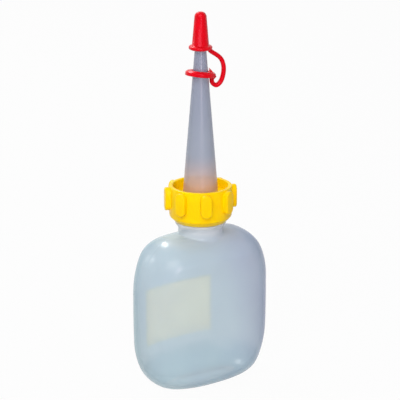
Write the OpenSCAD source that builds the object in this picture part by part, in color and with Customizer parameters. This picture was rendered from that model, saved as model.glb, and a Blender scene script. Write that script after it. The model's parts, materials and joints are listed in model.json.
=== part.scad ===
// Oval squeeze bottle with a conical nozzle, a ribbed union nut and a tethered tip cap.
// Millimetres, +Z up, X along the wide faces, origin on the floor below the neck's axis.
// The photographed side is the -Y face, and the label is on the +Y face.

/* [Bottle body] */
// Height of the body up to its crown, under the neck
body_h = 89; // [82:1:110]
// Width of the body at mid height
body_w = 85; // [80:1:100]
// Depth of the body at mid height
body_d = 45; // [44:0.5:54]
// How far the narrow sides bow in from mid height to the corners
side_bow = 1.9; // [0:0.1:3]
// How far the wide faces bow in from mid height to the corners
face_bow = 0.6; // [0:0.1:1.2]
// Exponent of the oval section at mid height, where 2 is an ellipse
oval_exponent = 2.4; // [2.2:0.1:4]
// Exponent of the oval section at the crown
crown_exponent = 3; // [2:0.1:3.4]
// Thickness of the blown wall
wall = 1.2; // [0.8:0.1:2]
// Thickness of the floor at the rest ring
floor_t = 2.2; // [1.8:0.1:3]

/* [Body corners] */
// Height of the bottom corner curve of the narrow sides
side_foot_h = 28; // [22:1:34]
// Inset of the bottom corner curve of the narrow sides
side_foot_in = 17; // [10:0.5:18]
// Height of the bottom corner curve of the wide faces
face_foot_h = 9; // [8:0.5:15]
// Inset of the bottom corner curve of the wide faces
face_foot_in = 14.5; // [10:0.5:15.5]
// Height of the shoulder curve of the narrow sides
side_shoulder_h = 34; // [22:1:36]
// Inset of the shoulder curve of the narrow sides
side_shoulder_in = 21; // [14:0.5:21.5]
// Height of the shoulder curve of the wide faces
face_shoulder_h = 12.5; // [12:0.5:24]
// Inset of the shoulder curve of the wide faces
face_shoulder_in = 20; // [14:0.1:20]
// Depth of the hollow under the floor
push_up = 1; // [0.4:0.1:1.4]
// Width of the rest ring around that hollow, as seen along X
rest_ring = 5; // [3:0.5:7]

/* [Neck] */
// Outer radius of the neck at the crown
neck_r = 12.7; // [12.6:0.1:14]
// Radius of the bore through the neck
neck_bore_r = 9.8; // [8.5:0.1:10]
// Radius of the collar under the nut
collar_r = 14.5; // [14.2:0.1:16]
// Height of the collar's full radius
collar_band = 1.1; // [1:0.1:3]
// Height of the taper under the collar
collar_taper = 2.4; // [2:0.1:4]
// Straight neck between the crown and the collar's taper
neck_waist = 3.6; // [0.6:0.1:5]
// Radius of the neck between its thread ridges
finish_r = 11.8; // [11.4:0.1:11.9]
// Height of the threaded finish above the collar
finish_h = 11.6; // [11.6:0.1:14]

/* [Thread] */
// Pitch of the coarse right-hand thread
pitch = 4; // [3.6:0.1:4.5]
// Height of a thread ridge above its root
ridge_h = 1.1; // [0.8:0.1:1.1]
// Width of a thread ridge at its root
ridge_root = 1.8; // [1.4:0.1:1.8]
// Width of a thread ridge at its crest
ridge_crest = 1; // [0.6:0.1:1.2]
// Turns of thread on the neck
neck_turns = 1.6; // [1.25:0.05:1.6]
// Turns of thread in the nut
nut_turns = 1; // [0.75:0.05:1.25]
// Clearance between the two threads
thread_gap = 0.3; // [0.2:0.05:0.4]

/* [Union nut] */
// Radius of the nut between its ribs
nut_r = 17.7; // [16.8:0.1:19]
// Radius of the nut at its bottom edge
nut_foot_r = 15.1; // [14.6:0.1:16]
// Height of the taper at the bottom of the nut
nut_foot_h = 2.8; // [2:0.1:4]
// Radius over the ribs
rib_r = 20.5; // [19.5:0.1:22]
// Width of a rib
rib_w = 6.4; // [4:0.1:7]
// Height of a rib
rib_h = 13.4; // [9:0.1:15]
// Drop of the ribs' top below the rim
rib_drop = 0.6; // [0:0.1:1]
// Number of ribs
rib_count = 8; // [4:1:10]
// Turn of the ribs about the nut's axis, seen from above
rib_turn = 19; // [0:1:44]
// Inner radius of the rim above the ledge
rim_bore_r = 15.6; // [14.5:0.1:15.8]
// Depth of the ledge below the rim
ledge_drop = 5; // [3:0.5:7]
// Thickness of the ledge that clamps the nozzle
ledge_t = 2; // [1.5:0.1:3]
// Clearance between the ledge's hole and the nozzle
ledge_gap = 0.4; // [0.3:0.05:1]
// Gap between the nut and the bottle's collar
nut_gap = 0.3; // [0.2:0.05:0.6]

/* [Nozzle] */
// Outer radius of the nozzle's cone at the nut's rim
cone_r = 9.6; // [8.5:0.1:9.9]
// Height of the nozzle's tip above the nut's rim
cone_h = 91; // [80:0.5:110]
// Outer radius of the tip
tip_r = 2.1; // [2:0.1:2.4]
// Radius of the outlet hole
outlet_r = 1; // [0.6:0.1:1.2]
// Wall of the nozzle at the flange
nozzle_wall = 1.2; // [1:0.1:1.5]
// Radius of the flange that the nut clamps
flange_r = 12.3; // [12:0.1:12.6]
// Thickness of that flange
flange_t = 2.2; // [1.5:0.1:3]
// Length of the plug that reaches into the neck
plug_l = 5; // [3:0.5:8]
// Clearance of the plug in the neck
plug_gap = 0.3; // [0.2:0.05:0.5]

/* [Tip cap] */
// Height of the cap
cap_h = 21; // [19:0.1:24]
// How far the nozzle's tip reaches into the cap
cap_seat = 13.3; // [10:0.1:16]
// Outer radius of the cap above its flange
cap_r = 4.7; // [4.4:0.1:5]
// Outer radius of the cap where its dome starts
cap_top_r = 3.4; // [2.8:0.1:3.8]
// Height of the dome
cap_dome_h = 3; // [1.8:0.1:3.4]
// Radius of the cap's flange
cap_flange_r = 6.6; // [5.5:0.1:7.5]
// Thickness of the cap's flange
cap_flange_t = 2.2; // [1.6:0.1:3]
// Clearance between the cap and the nozzle
cap_gap = 0.1; // [0.05:0.05:0.3]
// Room in the cap above the nozzle's tip
cap_room = 4; // [1:0.5:5]

/* [Tether] */
// Turn of the tether's plane about the nozzle, seen from above
tether_turn = -23; // [-180:1:180]
// Drop of the retainer ring's middle below the cap
ring_drop = 13.6; // [12:0.1:16]
// Outer radius of the retainer ring
ring_r = 8.5; // [7.8:0.1:10]
// Height of the retainer ring
ring_h = 3; // [2:0.1:4]
// Clearance between the retainer ring and the cone
ring_gap = 0.6; // [0.55:0.05:1]
// Tilt of the retainer ring on the cone, its strap side down
ring_tilt = 9; // [0:1:9]
// Turn of that tilt from the strap's plane, against the clock as seen from above
ring_tilt_turn = 40; // [0:5:60]
// Reach of the strap's loop from the nozzle's axis
strap_reach = 13.1; // [12.4:0.1:16]
// Sag of the strap's loop below the ring's middle
strap_sag = 7; // [6.6:0.1:9]
// Width of the strap across its plane
strap_w = 3; // [2:0.1:4]
// Thickness of the strap in its plane
strap_t = 2.5; // [1.8:0.1:2.6]
// Height of the lug that the strap leaves
lug_h = 6; // [5:0.1:7]
// Width of that lug
lug_w = 6; // [3.6:0.1:7]

/* [Label] */
// Width of the label
label_w = 47; // [30:1:50]
// Height of the label
label_h = 35; // [25:1:40]
// Height of the label's lower edge above the floor
label_z = 17.5; // [16:0.5:24]
// Sideways place of the label's middle
label_x = -1; // [-3:0.5:3]
// Thickness of the label
label_t = 0.2; // [0.1:0.05:0.3]
// Gap between the label and the face, which its glue fills
label_gap = 0.1; // [0.05:0.05:0.2]

/* [Hidden] */
$fn = 64;

// How far cuts and joined shapes pass through each other
cut = 1;
sink = 0.5;

// Heights along the neck and the nut, worked out from the body upwards
taper_z = body_h + neck_waist;
collar_z = taper_z + collar_taper;
collar_top_z = collar_z + collar_band;
rim_z = collar_top_z + finish_h;
// The rim carries the nozzle's flange, and the nut's ledge holds it down
plug_z = rim_z - plug_l;
plug_r = neck_bore_r - plug_gap;
ledge_z = rim_z + flange_t;
ledge_top_z = ledge_z + ledge_t;
nut_z = collar_top_z + nut_gap;
nut_top_z = ledge_top_z + ledge_drop;

// The cone is straight from the flange to the tip
tip_z = nut_top_z + cone_h;
cone_slope = (cone_r - tip_r) / cone_h;
function cone_at(z) = tip_r + cone_slope * (tip_z - z);
ledge_hole_r = cone_at(ledge_z) + ledge_gap;
bore_foot_r = cone_at(ledge_z) - nozzle_wall;

// Thread ridges: the nut's lies under the neck's, closer by the clearance
nut_bore_r = finish_r + ridge_h + thread_gap;
ridge_mid = (ridge_root + ridge_crest) / 2;
nut_ridge_z = nut_z + ridge_root / 2 + sink;
neck_ridge_z = nut_ridge_z + ridge_mid + thread_gap;
ridge_steps = 24;
// Angle over which a ridge grows to its full height, and the share it starts with
ridge_lead = 30;
ridge_start = 0.1;

// The cap stands on the cone, and the ring hangs below it
cap_z = tip_z - cap_seat;
cap_top_z = cap_z + cap_h;
cap_dome_z = cap_top_z - cap_dome_h;
ring_z = cap_z - ring_drop;
ring_hole_r = cone_at(ring_z - ring_h / 2) + ring_gap;

// Small shapes of the cap, the ring and its lug
cap_end_r = 1;
dome_flat_r = 0.6;
ring_edge = 0.4;
ring_bevel = 1.2;
lug_heel = 1.3;

// Facets of the lofted body, outside and inside, and of the label
outer_sides = 56;
inner_sides = 40;
foot_rings = 8;
side_rings = 5;
shoulder_rings = 12;
label_cols = 16;
label_rows = 8;
rib_steps = 10;
edge_steps = 6;
dome_steps = 8;
strap_sides = 12;
strap_rings = 36;
stub_rings = 5;

// Body section. A corner curve is a quarter ellipse, so the inset grows towards each end.
function quarter(t) = 1 - sqrt(max(0, 1 - t * t));
function corner(z, foot_h, foot_in, top_z, top_h, top_in) =
    z < foot_h ? foot_in * quarter((foot_h - z) / foot_h)
    : z > top_z - top_h ? top_in * quarter((z - top_z + top_h) / top_h)
    : 0;
function bow(z, amount) = amount * pow((z - body_h / 2) / (body_h / 2), 2);

function half_w(z) =
    body_w / 2 - bow(z, side_bow)
    - corner(z, side_foot_h, side_foot_in, body_h, side_shoulder_h, side_shoulder_in);
function half_d(z) =
    body_d / 2 - bow(z, face_bow)
    - corner(z, face_foot_h, face_foot_in, body_h, face_shoulder_h, face_shoulder_in);
function exponent(z) =
    z <= body_h - side_shoulder_h ? oval_exponent
    : oval_exponent
        + (crown_exponent - oval_exponent) * (z - body_h + side_shoulder_h) / side_shoulder_h;

// One ring of points around the oval
function signed_pow(v, p) = sign(v) * pow(abs(v), p);
function oval(w, d, n, z, sides) = [
    for (i = [0:sides - 1])
        let (a = 360 * i / sides)
        [w * signed_pow(cos(a), 2 / n), d * signed_pow(sin(a), 2 / n), z]
];

// Heights of the rings: close together where the corner curves turn most
function foot_levels(h, count) = [for (i = [0:count]) h * (1 - cos(90 * i / count))];
function shoulder_levels(z, h, count) = [for (i = [0:count]) z - h + h * sin(90 * i / count)];
function even_levels(a, b, count) = [for (i = [1:count - 1]) a + (b - a) * i / count];

// Closed loft through rings of equally many points, given from the bottom up
module loft(rings) {
    sides = len(rings[0]);
    count = len(rings);
    points = [for (ring = rings) each ring];
    walls = [
        for (k = [0:count - 2])
            for (i = [0:sides - 1])
                let (
                    a = k * sides + i,
                    b = k * sides + (i + 1) % sides
                )
                each [[a, a + sides, b], [b, a + sides, b + sides]]
    ];
    bottom = [for (i = [0:sides - 1]) i];
    top = [for (i = [0:sides - 1]) count * sides - 1 - i];
    polyhedron(points = points, faces = concat(walls, [bottom, top]), convexity = 6);
}

// Outside of the body, with the hollow under the floor
module body_outside() {
    foot_w = half_w(0);
    foot_d = half_d(0);
    hollow_w = foot_w - rest_ring;
    hollow_d = foot_d - rest_ring / 2;
    n = exponent(0);
    levels = concat(
        foot_levels(side_foot_h, foot_rings),
        even_levels(side_foot_h, body_h - side_shoulder_h, side_rings),
        shoulder_levels(body_h, side_shoulder_h, shoulder_rings)
    );
    loft(concat(
        [
            oval(hollow_w - push_up, hollow_d - push_up, n, push_up, outer_sides),
            oval(hollow_w, hollow_d, n, 0, outer_sides)
        ],
        [for (z = levels) oval(half_w(z), half_d(z), exponent(z), z, outer_sides)]
    ));
}

// Inside of the body: the same curves, a wall further in
module body_inside() {
    top = body_h - wall;
    side_foot = side_foot_h - floor_t;
    face_foot = face_foot_h - floor_t;
    side_top = side_shoulder_h - wall;
    face_top = face_shoulder_h - wall;
    levels = concat(
        [for (h = foot_levels(side_foot, foot_rings)) floor_t + h],
        even_levels(side_foot_h, top - side_top, side_rings),
        shoulder_levels(top, side_top, shoulder_rings)
    );
    loft([
        for (z = levels)
            let (
                side_in = corner(z - floor_t, side_foot, side_foot_in - wall,
                    top - floor_t, side_top, side_shoulder_in - wall),
                face_in = corner(z - floor_t, face_foot, face_foot_in - wall,
                    top - floor_t, face_top, face_shoulder_in - wall)
            )
            oval(
                body_w / 2 - wall - bow(z, side_bow) - side_in,
                body_d / 2 - wall - bow(z, face_bow) - face_in,
                exponent(z), z, inner_sides)
    ]);
}

// Helical ridge. The root lies sunk in the wall that carries it, on the side away from the crest.
module ridge(root_r, crest_r, start_z, turns) {
    outward = crest_r > root_r ? 1 : -1;
    steps = round(turns * ridge_steps);
    sections = [
        for (i = [0:steps])
            let (
                a = 360 * i / ridge_steps,
                lead = min(1, min(a, 360 * steps / ridge_steps - a) / ridge_lead),
                crest = root_r + (crest_r - root_r) * max(ridge_start, lead),
                inner = root_r - outward * sink,
                z = start_z + pitch * i / ridge_steps,
                shape = [
                    [inner, -ridge_root / 2], [crest, -ridge_crest / 2],
                    [crest, ridge_crest / 2], [inner, ridge_root / 2]
                ]
            )
            [
                for (p = outward > 0 ? shape : [for (k = [3:-1:0]) shape[k]])
                    [p[0] * cos(a), p[0] * sin(a), z + p[1]]
            ]
    ];
    sides = 4;
    points = [for (section = sections) each section];
    walls = [
        for (k = [0:steps - 1])
            for (i = [0:sides - 1])
                let (
                    a = k * sides + i,
                    b = k * sides + (i + 1) % sides
                )
                each [[a, b, a + sides], [b, b + sides, a + sides]]
    ];
    start = [for (i = [sides - 1:-1:0]) i];
    end = [for (i = [0:sides - 1]) steps * sides + i];
    polyhedron(points = points, faces = concat(walls, [start, end]), convexity = 6);
}

// Neck from inside the shoulder up: waist, taper, collar and the threaded finish
module neck_outside() {
    rotate_extrude()
        polygon([
            [0, body_h - face_shoulder_h],
            [neck_r, body_h - face_shoulder_h],
            [neck_r, taper_z],
            [collar_r, collar_z],
            [collar_r, collar_top_z],
            [finish_r, collar_top_z],
            [finish_r, rim_z],
            [0, rim_z]
        ]);
    ridge(finish_r, finish_r + ridge_h, neck_ridge_z, neck_turns);
}

module bottle() {
    color([0.78, 0.84, 0.88, 0.6])
        difference() {
            union() {
                body_outside();
                neck_outside();
            }
            body_inside();
            translate([0, 0, body_h - face_shoulder_h])
                cylinder(r = neck_bore_r, h = rim_z - body_h + face_shoulder_h + cut);
        }
}

// Thin sheet that follows the +Y face
function face_y(x, z) =
    let (n = exponent(z))
    half_d(z) * pow(max(0, 1 - pow(abs(x) / half_w(z), n)), 1 / n);

module label() {
    rings = [
        for (k = [0:label_rows])
            let (z = label_z + label_h * k / label_rows)
            concat(
                [
                    for (i = [0:label_cols])
                        let (x = label_x + label_w * (0.5 - i / label_cols))
                        [x, face_y(x, z) + label_gap + label_t, z]
                ],
                [
                    for (i = [label_cols:-1:0])
                        let (x = label_x + label_w * (0.5 - i / label_cols))
                        [x, face_y(x, z) + label_gap, z]
                ]
            )
    ];
    color([0.93, 0.93, 0.86]) loft(rings);
}

module nozzle() {
    color([0.72, 0.73, 0.8, 0.8])
        rotate_extrude()
            polygon([
                [plug_r - nozzle_wall, plug_z],
                [plug_r, plug_z],
                [plug_r, rim_z],
                [flange_r, rim_z],
                [flange_r, ledge_z],
                [cone_at(ledge_z), ledge_z],
                [tip_r, tip_z],
                [outlet_r, tip_z],
                [bore_foot_r, ledge_z]
            ]);
}

// Points of an arc in a flat outline
function arc(x, z, r, from, to, steps) = [
    for (k = [0:steps])
        let (a = from + (to - from) * k / steps)
        [x + r * cos(a), z + r * sin(a)]
];

// Rib with round ends, standing on the nut's wall
module rib() {
    end_r = rib_w / 2;
    foot_r = rim_bore_r + sink;
    translate([foot_r, 0, nut_top_z - rib_drop - rib_h])
        rotate([90, 0, 90])
            linear_extrude(rib_r - foot_r)
                polygon(concat(
                    arc(0, rib_h - end_r, end_r, 0, 180, rib_steps),
                    arc(0, end_r, end_r, 180, 360, rib_steps)
                ));
}

module union_nut() {
    color([0.99, 0.83, 0.06]) {
        difference() {
            union() {
                translate([0, 0, nut_z])
                    cylinder(r1 = nut_foot_r, r2 = nut_r, h = nut_foot_h);
                translate([0, 0, nut_z + nut_foot_h])
                    cylinder(r = nut_r, h = nut_top_z - nut_z - nut_foot_h);
                for (i = [0:rib_count - 1])
                    rotate([0, 0, rib_turn + 360 * i / rib_count])
                        rib();
            }
            translate([0, 0, ledge_top_z])
                cylinder(r = rim_bore_r, h = ledge_drop + cut);
            translate([0, 0, ledge_z - cut])
                cylinder(r = ledge_hole_r, h = ledge_t + 2 * cut);
            translate([0, 0, nut_z - cut])
                cylinder(r = nut_bore_r, h = ledge_z - nut_z + cut);
        }
        ridge(nut_bore_r, nut_bore_r - ridge_h, nut_ridge_z, nut_turns);
    }
}

// Route of the strap in its own plane: distance from the axis, and height above the ring's middle.
// It starts inside the cap's flange, runs round the loop and ends inside the ring's lug.
cap_root_r = (cone_at(cap_z) + cap_flange_r) / 2;
lug_root_r = ring_r - lug_heel - strap_t / 3;
strap_route = [
    [cap_root_r - strap_t / 8, ring_drop + 0.45 * cap_flange_t],
    [cap_root_r + strap_t / 8, 0.955 * ring_drop],
    [0.505 * strap_reach, 0.865 * ring_drop],
    [0.66 * strap_reach, 0.77 * ring_drop],
    [0.81 * strap_reach, 0.655 * ring_drop],
    [0.925 * strap_reach, 0.505 * ring_drop],
    [0.99 * strap_reach, 0.29 * ring_drop],
    [strap_reach, 0.075 * ring_drop],
    [0.955 * strap_reach, -0.33 * strap_sag],
    [0.855 * strap_reach, -0.765 * strap_sag],
    [0.69 * strap_reach, -strap_sag],
    [lug_root_r + strap_t / 3, -0.88 * strap_sag],
    [lug_root_r, -0.75 * lug_h],
    [lug_root_r, -lug_h / 4]
];
// Places along the route where the strap meets the cap's stub and the lug's stub
cap_joint = 1.5;
ring_joint = 11.8;

// Smooth curve through the route's points
function route_point(i) = strap_route[min(max(i, 0), len(strap_route) - 1)];
function route_at(t) =
    let (
        i = min(floor(t), len(strap_route) - 2),
        u = t - i,
        a = route_point(i - 1),
        b = route_point(i),
        c = route_point(i + 1),
        d = route_point(i + 2)
    )
    0.5 * (2 * b + (c - a) * u + (2 * a - 5 * b + 4 * c - d) * u * u
        + (3 * b - a - 3 * c + d) * u * u * u);
function route_way(t) =
    let (
        step = 0.01,
        way = route_at(min(t + step, len(strap_route) - 1)) - route_at(max(t - step, 0))
    )
    way / norm(way);

// Stretch of the strap between two places along its route, with rounded edges
strap_exponent = 3;
module strap_stretch(from, to, rings) {
    loft([
        for (k = [0:rings])
            let (
                t = from + (to - from) * k / rings,
                p = route_at(t),
                w = route_way(t)
            )
            [
                for (i = [0:strap_sides - 1])
                    let (
                        a = 360 * (i + 0.5) / strap_sides,
                        out = strap_t / 2 * signed_pow(cos(a), 2 / strap_exponent),
                        across = strap_w / 2 * signed_pow(sin(a), 2 / strap_exponent)
                    )
                    [p[0] + w[1] * out, across, p[1] - w[0] * out]
            ]
    ]);
}

// Places a shape drawn about the ring's middle on the nozzle
module on_nozzle()
    translate([0, 0, ring_z])
        rotate([0, 0, tether_turn])
            children();

// Points of a dome's quarter ellipse
function dome(x, z, r, h, steps) = [
    for (k = [0:steps])
        let (a = 90 * k / steps)
        [x + r * cos(a), z + h * sin(a)]
];

module tip_cap() {
    edge = cap_flange_t / 2;
    color([0.93, 0.08, 0.13]) {
        rotate_extrude()
            polygon(concat(
                [
                    [0, tip_z + cap_room],
                    [cap_end_r, tip_z + cap_room],
                    [tip_r + cap_gap, tip_z],
                    [cone_at(cap_z) + cap_gap, cap_z]
                ],
                arc(cap_flange_r - edge, cap_z + edge, edge, -90, 90, edge_steps),
                [[cap_r, cap_z + cap_flange_t]],
                dome(dome_flat_r, cap_dome_z, cap_top_r - dome_flat_r, cap_dome_h, dome_steps),
                [[0, cap_top_z]]
            ));
        on_nozzle() strap_stretch(0, cap_joint, stub_rings);
    }
}

module tether_strap() {
    color([0.93, 0.08, 0.13])
        on_nozzle() strap_stretch(cap_joint, ring_joint, strap_rings);
}

// Tilts a shape as the ring lies on the cone
module as_ring_lies()
    rotate([0, 0, ring_tilt_turn])
        rotate([0, ring_tilt, 0])
            children();

module tether_ring() {
    color([0.93, 0.08, 0.13])
        on_nozzle() {
            difference() {
                union() {
                    as_ring_lies()
                        rotate_extrude()
                            polygon([
                                [0, -ring_h / 2],
                                [ring_r - ring_edge, -ring_h / 2],
                                [ring_r, -ring_h / 2 + ring_edge],
                                [ring_r, ring_h / 2 - ring_bevel],
                                [ring_r - ring_bevel, ring_h / 2],
                                [0, ring_h / 2]
                            ]);
                    translate([0, lug_w / 2, 0])
                        rotate([90, 0, 0])
                            linear_extrude(lug_w)
                                polygon([
                                    [ring_hole_r, lug_h / 2],
                                    [ring_r, -lug_h / 4],
                                    [ring_r - lug_heel, -lug_h / 2],
                                    [ring_hole_r, -lug_h / 4]
                                ]);
                }
                as_ring_lies()
                    cylinder(r = ring_hole_r, h = 2 * lug_h, center = true);
            }
            strap_stretch(ring_joint, len(strap_route) - 1, stub_rings);
        }
}

bottle();
label();
nozzle();
union_nut();
tip_cap();
tether_strap();
tether_ring();
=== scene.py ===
"""Dressed model of an oval squeeze bottle with a nozzle, a union nut and a tethered tip cap.

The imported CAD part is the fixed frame: every size here repeats the part's own, in
millimetres, and each mesh is scaled to metres when it is finished. +Z is up, X runs
along the bottle's wide faces, and the photographed side is the -Y face.
"""

import json
import logging
import math
from collections.abc import Sequence
from dataclasses import dataclass, field, replace
from enum import Enum

import bmesh
import bpy
import numpy as np
from bmesh.types import BMEdge, BMesh, BMFace, BMVert
from mathutils import Matrix, Vector

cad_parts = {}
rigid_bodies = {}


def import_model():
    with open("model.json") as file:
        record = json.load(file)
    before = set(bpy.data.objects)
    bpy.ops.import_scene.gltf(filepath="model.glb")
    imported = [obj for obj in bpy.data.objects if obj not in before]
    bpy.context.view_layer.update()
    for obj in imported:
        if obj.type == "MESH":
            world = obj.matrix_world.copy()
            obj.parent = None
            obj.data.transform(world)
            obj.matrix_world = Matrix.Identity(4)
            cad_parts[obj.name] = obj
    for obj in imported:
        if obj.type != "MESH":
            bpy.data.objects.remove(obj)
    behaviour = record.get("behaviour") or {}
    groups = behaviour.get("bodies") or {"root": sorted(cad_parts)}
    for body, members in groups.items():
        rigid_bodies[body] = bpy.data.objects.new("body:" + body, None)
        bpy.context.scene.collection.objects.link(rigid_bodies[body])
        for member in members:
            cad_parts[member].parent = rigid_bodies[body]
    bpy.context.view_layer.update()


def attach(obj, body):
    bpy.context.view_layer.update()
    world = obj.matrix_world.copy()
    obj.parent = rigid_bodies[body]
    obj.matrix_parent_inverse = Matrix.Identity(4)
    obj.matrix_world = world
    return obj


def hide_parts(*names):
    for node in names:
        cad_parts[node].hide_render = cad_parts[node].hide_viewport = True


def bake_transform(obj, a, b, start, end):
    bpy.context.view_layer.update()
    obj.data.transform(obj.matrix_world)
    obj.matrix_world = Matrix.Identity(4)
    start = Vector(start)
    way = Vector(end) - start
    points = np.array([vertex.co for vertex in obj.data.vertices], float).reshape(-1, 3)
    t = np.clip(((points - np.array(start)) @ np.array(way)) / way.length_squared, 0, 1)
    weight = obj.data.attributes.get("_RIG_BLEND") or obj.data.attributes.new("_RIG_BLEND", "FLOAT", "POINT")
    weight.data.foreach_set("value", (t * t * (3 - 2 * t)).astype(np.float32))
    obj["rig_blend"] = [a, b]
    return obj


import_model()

LOG = logging.getLogger("oval_bottle")

MM = 0.001
# Frame of the photograph in pixels, and the sensor width that lens lengths refer to
FRAME_PX = 400
SENSOR_MM = 36.0
# Distances at which points merge, in millimetres in a turned shape and in metres after a union
TURN_WELD = 0.0005
UNION_WELD = 2e-6
# Straight steps from which the profile of a shoulder is measured out, and how its rings crowd
SHOULDER_SAMPLES = 240
SHOULDER_CROWDING = 1.5
# Refractive index of the plastics
PLASTIC_IOR = 1.5

Point = Sequence[float]
Profile = list[tuple[float, float]]
Node = bpy.types.Node
Socket = bpy.types.NodeSocket


class Body(Enum):
    """CAD bodies that the pieces ride on."""

    BOTTLE = "bottle"
    SPOUT = "spout"
    NUT = "nut"
    TETHER = "tether"
    CAP = "cap"


class Slot(Enum):
    """Material slots of the record."""

    NATURAL = "natural_plastic"
    LABEL = "label_paper"
    NOZZLE = "nozzle_plastic"
    YELLOW = "yellow_plastic"
    RED = "red_plastic"


# Mesh helpers


def arc(x: float, z: float, radius: float, start: float, end: float, steps: int) -> Profile:
    """Points of an arc in a flat profile, between two angles in degrees from +X towards +Z."""
    angles = [math.radians(start + (end - start) * k / steps) for k in range(steps + 1)]
    return [(x + radius * math.cos(a), z + radius * math.sin(a)) for a in angles]


def signed_power(value: float, power: float) -> float:
    """Raises the size of a number to a power and keeps its sign."""
    return math.copysign(abs(value) ** power, value)


def turn_profile(bm: BMesh, profile: Profile, steps: int, closed: bool = True) -> None:
    """Spins a profile in the XZ plane once around the Z axis.

    Args:
        bm: Empty mesh that takes the turned shape.
        profile: Points of the profile as (radius, height).
        steps: Steps of the full turn.
        closed: Whether the last point joins the first.
    """
    verts = [bm.verts.new((r, 0.0, z)) for r, z in profile]
    pairs = list(zip(verts, verts[1:]))
    if closed:
        pairs.append((verts[-1], verts[0]))
    edges = [bm.edges.new(pair) for pair in pairs]
    bmesh.ops.spin(
        bm,
        geom=verts + edges,
        cent=(0, 0, 0),
        axis=(0, 0, 1),
        dvec=(0, 0, 0),
        angle=math.tau,
        steps=steps,
        use_merge=True,
        use_duplicate=False,
    )
    bmesh.ops.remove_doubles(bm, verts=bm.verts, dist=TURN_WELD)


class Sweep:
    """Closed tube that grows ring by ring from a first ring of points."""

    def __init__(self, bm: BMesh, first: Sequence[Point]) -> None:
        """Starts the tube with a capped ring.

        Args:
            bm: Mesh that takes the tube.
            first: Points of the first ring, in order.
        """
        self.bm = bm
        made = bmesh.ops.create_circle(bm, cap_ends=True, segments=len(first), radius=1.0)
        self.ring: list[BMVert] = sorted(
            made["verts"], key=lambda v: math.atan2(v.co.y, v.co.x) % math.tau
        )
        self.rings: list[list[BMVert]] = []
        self._place(first)

    def _place(self, points: Sequence[Point]) -> None:
        """Moves the newest ring to its points and remembers it.

        Args:
            points: Places of the ring's points, in order.
        """
        for vert, point in zip(self.ring, points):
            vert.co = Vector(point)
        self.rings.append(self.ring)

    def grow(self, points: Sequence[Point]) -> None:
        """Extrudes the newest ring to the next ring of points.

        Args:
            points: Places of the new ring's points, in order.
        """
        made = bmesh.ops.extrude_edge_only(self.bm, edges=self.ring_edges(-1))
        fresh = {item for item in made["geom"] if isinstance(item, BMVert)}
        self.ring = [
            next(e.other_vert(v) for e in v.link_edges if e.other_vert(v) in fresh)
            for v in self.ring
        ]
        self._place(points)

    def close(self) -> None:
        """Caps the newest ring."""
        bmesh.ops.contextual_create(self.bm, geom=self.ring)

    def ring_edges(self, index: int) -> list[BMEdge]:
        """Edges around one of the rings."""
        ring = self.rings[index]
        return [self.bm.edges.get((a, b)) for a, b in zip(ring, ring[1:] + ring[:1])]


def round_edges(bm: BMesh, edges: Sequence[BMEdge], offset: float, segments: int) -> None:
    """Rounds edges with a bevel.

    Args:
        bm: Mesh that holds the edges.
        edges: Edges to round.
        offset: Width of the bevel.
        segments: Segments of the rounding.
    """
    bmesh.ops.bevel(
        bm,
        geom=list(edges),
        offset=offset,
        offset_type="OFFSET",
        affect="EDGES",
        segments=segments,
        profile=0.5,
        material=-1,
        clamp_overlap=True,
    )


def ring_points(angles: Sequence[float], radii: Sequence[float], z: float) -> list[Point]:
    """Ring of points at a height, with a distance from the axis for each angle in radians."""
    return [(r * math.cos(a), r * math.sin(a), z) for r, a in zip(radii, angles)]


def extrude_outline(bm: BMesh, outline: Sequence[Point], way: Point) -> list[BMFace]:
    """Extrudes a flat outline into a closed block.

    Args:
        bm: Mesh that takes the block.
        outline: Points around the first face.
        way: Direction and length of the extrusion.

    Returns:
        The faces that the extrusion made, the far end first.
    """
    face = bm.faces.new([bm.verts.new(point) for point in outline])
    made = bmesh.ops.extrude_face_region(bm, geom=[face])["geom"]
    moved = [item for item in made if isinstance(item, BMVert)]
    bmesh.ops.translate(bm, vec=way, verts=moved)
    return [item for item in made if isinstance(item, BMFace)]


def shade(bm: BMesh, crease: float) -> None:
    """Shades a mesh smooth, apart from its creases.

    Args:
        bm: Mesh to shade.
        crease: Angle in degrees from which an edge stays sharp.
    """
    limit = math.radians(crease)
    for face in bm.faces:
        face.smooth = True
    for edge in bm.edges:
        edge.smooth = not (len(edge.link_faces) == 2 and edge.calc_face_angle(0.0) > limit)


def add_object(name: str, data: bpy.types.ID) -> bpy.types.Object:
    """Makes an object and puts it in the scene.

    Args:
        name: Name of the object.
        data: Its mesh, lamp or camera.

    Returns:
        The new object.
    """
    made = bpy.data.objects.new(name, data)
    bpy.context.scene.collection.objects.link(made)
    return made


def finish_mesh(bm: BMesh, name: str, crease: float) -> bpy.types.Object:
    """Turns a mesh in millimetres into an object in metres, smooth apart from its creases.

    Args:
        bm: Closed mesh in millimetres. It is freed.
        name: Name of the piece.
        crease: Angle in degrees from which an edge stays sharp.

    Returns:
        The new object, at the origin and unscaled.
    """
    bmesh.ops.recalc_face_normals(bm, faces=bm.faces)
    bmesh.ops.scale(bm, vec=(MM, MM, MM), verts=bm.verts)
    shade(bm, crease)
    mesh = bpy.data.meshes.new(name)
    bm.to_mesh(mesh)
    bm.free()
    return add_object(name, mesh)


def join_solids(base: bpy.types.Object, tool: bpy.types.Object) -> None:
    """Unites a closed piece with another one, which is removed.

    Args:
        base: Piece that stays, with the united mesh.
        tool: Piece that becomes part of it.
    """
    union = base.modifiers.new("union", "BOOLEAN")
    union.operation = "UNION"
    union.solver = "MANIFOLD"
    union.object = tool
    graph = bpy.context.evaluated_depsgraph_get()
    united = bpy.data.meshes.new_from_object(base.evaluated_get(graph))
    base.modifiers.clear()
    old = base.data
    base.data = united
    united.name = base.name
    bpy.data.meshes.remove(old)
    bpy.data.objects.remove(tool)


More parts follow.
